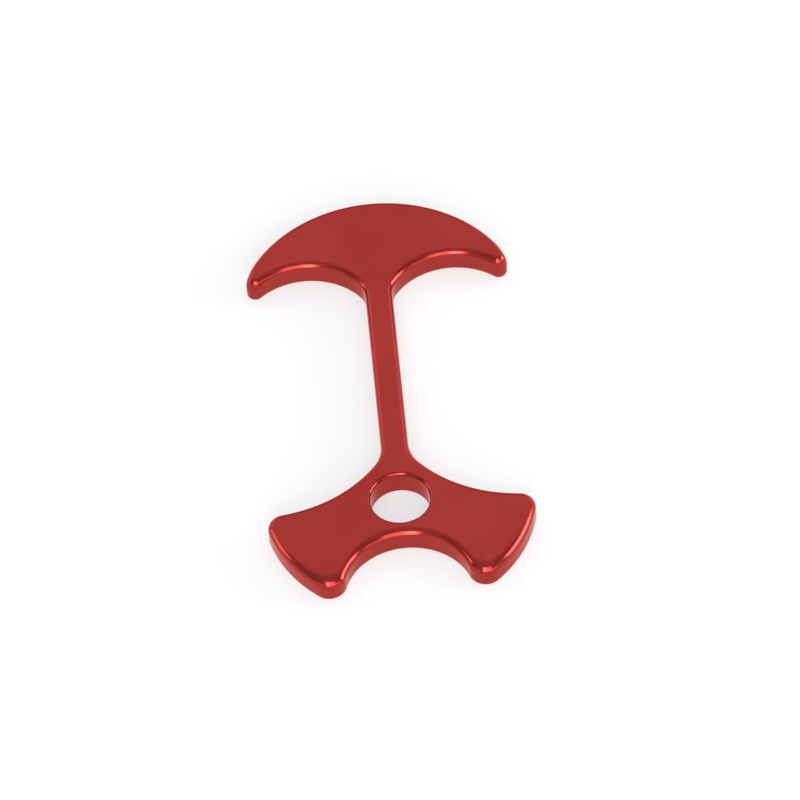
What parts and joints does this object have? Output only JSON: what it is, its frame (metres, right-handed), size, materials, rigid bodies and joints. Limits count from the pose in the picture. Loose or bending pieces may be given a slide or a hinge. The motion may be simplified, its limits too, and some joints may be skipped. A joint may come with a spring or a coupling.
{
  "type": "tent stake",
  "caption": "Flat deck anchor plate with a crescent head, a slim straight shank and a flared tail with a guy-line hole.",
  "frame": {"origin": "middle of the bounding box, on the flat underside that the plate rests on", "axes": "+Z is the plate's thickness, +Y runs along the plate from the tail to the crescent head, +X is across it"},
  "size_m": [0.036, 0.0652, 0.004],
  "materials": {
    "anodised_plate": "satin red anodised flats with glossy rolled edges"
  },
  "bodies": {
    "root": {"stake_plate": "anodised_plate"}
  },
  "joints": []
}
